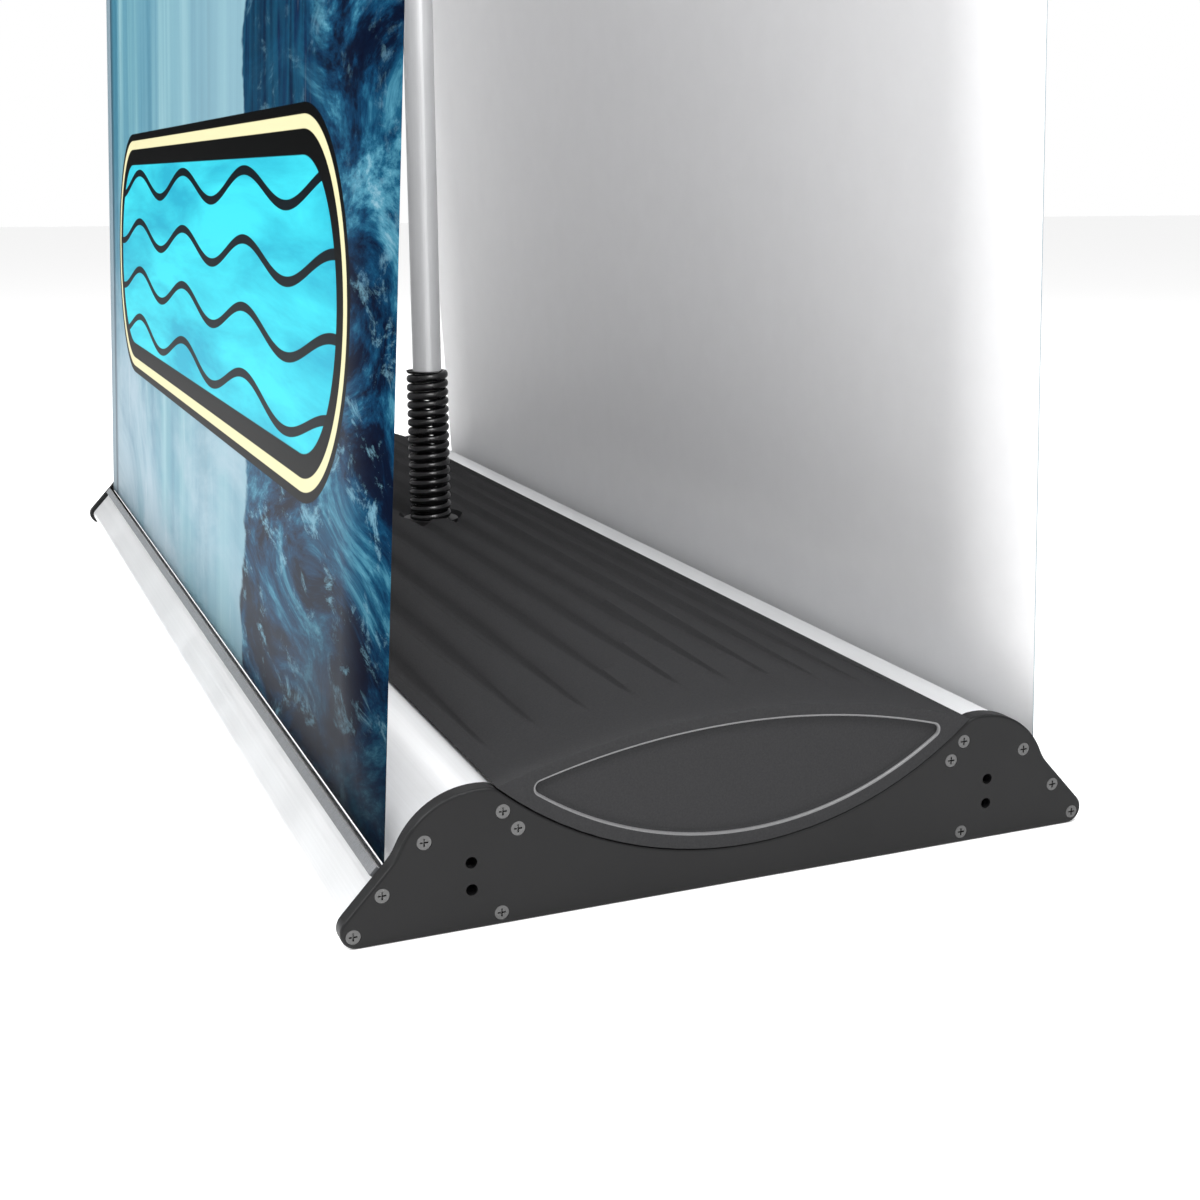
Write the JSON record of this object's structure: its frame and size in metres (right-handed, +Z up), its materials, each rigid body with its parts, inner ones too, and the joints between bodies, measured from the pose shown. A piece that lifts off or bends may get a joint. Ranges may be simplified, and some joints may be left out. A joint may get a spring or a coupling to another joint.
{
  "type": "roll-up banner stand",
  "caption": "Double-sided outdoor roll-up banner stand with a water-filled base, spring-mounted telescopic mast and a roller cassette on each side.",
  "frame": {"origin": "middle of the base, on the floor", "axes": "+X along the cassettes and the graphics' width, +Y from the front graphic to the rear one, +Z up the mast"},
  "size_m": [1.22, 0.475, 2.0117],
  "materials": {
    "alu_anodised": "satin anodised extrusion",
    "mast_aluminium": "satin drawn tube",
    "abs_grey": "moulded, satin",
    "pe_black": "blow-moulded, matt",
    "nylon_black": "moulded, fine texture",
    "steel_zinc": "zinc plated",
    "spring_black": "black coated spring wire",
    "steel_painted": "black powder coat",
    "epdm": "matt",
    "pile": "woven pile",
    "banner_print": "printed banner film, matt",
    "banner_back": "grey banner film, matt"
  },
  "bodies": {
    "base": {"front_cassette": "alu_anodised", "rear_cassette": "alu_anodised", "right_end_plate": "abs_grey", "left_end_plate": "abs_grey", "right_end_screws": "steel_zinc", "left_end_screws": "steel_zinc", "water_tank": "pe_black", "left_cross_beam": "steel_painted", "centre_cross_beam": "steel_painted", "right_cross_beam": "steel_painted", "cross_beam_bolts": "steel_zinc", "tank_saddles": "epdm", "mast_anchor": "steel_painted", "anchor_bolt": "steel_zinc", "mast_spring": "spring_black", "rubber_feet": "epdm", "front_wiper": "pile", "rear_wiper": "pile", "front_leader": "banner_back", "rear_leader": "banner_back", "bearing_blocks": "nylon_black", "front_left_spindle": "steel_zinc", "front_right_spindle": "steel_zinc", "rear_left_spindle": "steel_zinc", "rear_right_spindle": "steel_zinc", "front_roller_spring": "steel_zinc", "rear_roller_spring": "steel_zinc"},
    "front_roller": {"front_roller_tube": "mast_aluminium", "front_left_plug": "nylon_black", "front_right_plug": "nylon_black", "front_banner_roll": "banner_back"},
    "rear_roller": {"rear_roller_tube": "mast_aluminium", "rear_left_plug": "nylon_black", "rear_right_plug": "nylon_black", "rear_banner_roll": "banner_back"},
    "cap": {"filler_cap": "nylon_black", "cap_seal": "epdm"},
    "lower_mast": {"mast_stub": "mast_aluminium", "mast_lower_tube": "mast_aluminium", "lower_collet": "nylon_black", "front_graphic": "banner_print", "rear_graphic": "banner_print"},
    "lower_collar": {"lower_twist_collar": "nylon_black"},
    "middle_mast": {"mast_middle_tube": "mast_aluminium", "middle_foot_bush": "nylon_black", "middle_collet": "nylon_black"},
    "middle_collar": {"middle_twist_collar": "nylon_black"},
    "upper_mast": {"mast_upper_tube": "mast_aluminium", "upper_foot_bush": "nylon_black", "crossbar_hub": "nylon_black", "crossbar": "mast_aluminium", "hub_screw": "steel_zinc", "front_hook": "nylon_black", "rear_hook": "nylon_black", "front_top_rail": "alu_anodised", "rear_top_rail": "alu_anodised", "front_rail_clip": "alu_anodised", "rear_rail_clip": "alu_anodised", "rail_end_caps": "nylon_black"}
  },
  "joints": [
    {"name": "mast_sway", "type": "hinge", "parent": "base", "child": "lower_mast", "pos_m": [0, 0, 0.1655], "axis": [1, 0, 0], "range_deg": [-1.5, 1.5], "stiffness_Nm_per_rad": 400, "deforming": ["mast_spring", "front_graphic", "rear_graphic"]},
    {"name": "middle_mast_slide", "type": "slide", "parent": "lower_mast", "child": "middle_mast", "axis": [0, 0, 1], "range_m": [-0.5, 0], "deforming": ["front_graphic", "rear_graphic"]},
    {"name": "upper_mast_slide", "type": "slide", "parent": "middle_mast", "child": "upper_mast", "axis": [0, 0, 1], "range_m": [-0.5, 0]},
    {"name": "lower_collar_twist", "type": "hinge", "parent": "lower_mast", "child": "lower_collar", "pos_m": [0, 0, 0.892], "axis": [0, 0, 1], "range_deg": [0, 90]},
    {"name": "middle_collar_twist", "type": "hinge", "parent": "middle_mast", "child": "middle_collar", "pos_m": [0, 0, 1.442], "axis": [0, 0, 1], "range_deg": [0, 90]},
    {"name": "front_roller_spin", "type": "hinge", "parent": "base", "child": "front_roller", "pos_m": [0, -0.165, 0.0309], "axis": [1, 0, 0], "range_deg": [0, 3100]},
    {"name": "rear_roller_spin", "type": "hinge", "parent": "base", "child": "rear_roller", "pos_m": [0, 0.165, 0.0309], "axis": [1, 0, 0], "range_deg": [-3100, 0]},
    {"name": "filler_cap_lift", "type": "slide", "parent": "base", "child": "cap", "axis": [0, 0, 1], "range_m": [0, 0.05]}
  ],
  "couplings": [
    {"joint": "upper_mast_slide", "follows": "middle_mast_slide", "ratio": 1},
    {"joint": "front_roller_spin", "follows": "middle_mast_slide", "rad_per_m": -107.53},
    {"joint": "rear_roller_spin", "follows": "middle_mast_slide", "rad_per_m": 107.53}
  ]
}
